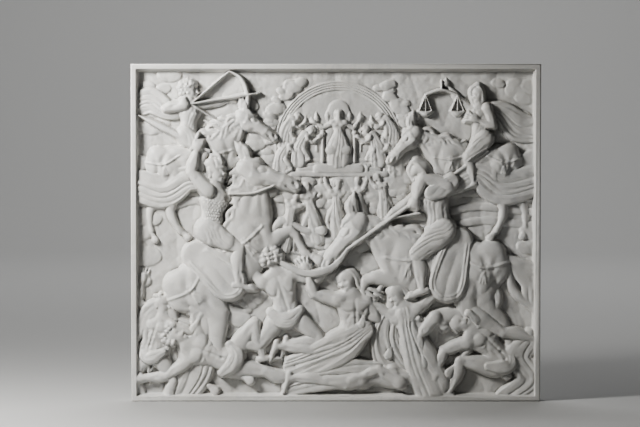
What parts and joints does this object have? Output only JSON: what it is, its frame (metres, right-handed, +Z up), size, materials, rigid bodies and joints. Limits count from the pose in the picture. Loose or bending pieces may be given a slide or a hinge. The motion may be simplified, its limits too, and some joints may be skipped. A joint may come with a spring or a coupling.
{
  "type": "marble relief plaque",
  "caption": "Upright rectangular marble plaque with a thin raised border round a crowded figure relief, for hanging or standing against a wall.",
  "frame": {"origin": "centre of the flat back face", "axes": "+Z up along the height, +X to the viewer's right along the width, and the carved front faces -Y"},
  "size_m": [0.41, 0.0272, 0.338],
  "materials": {
    "marble": "satin"
  },
  "bodies": {
    "root": {"relief_plaque": "marble"}
  },
  "joints": []
}
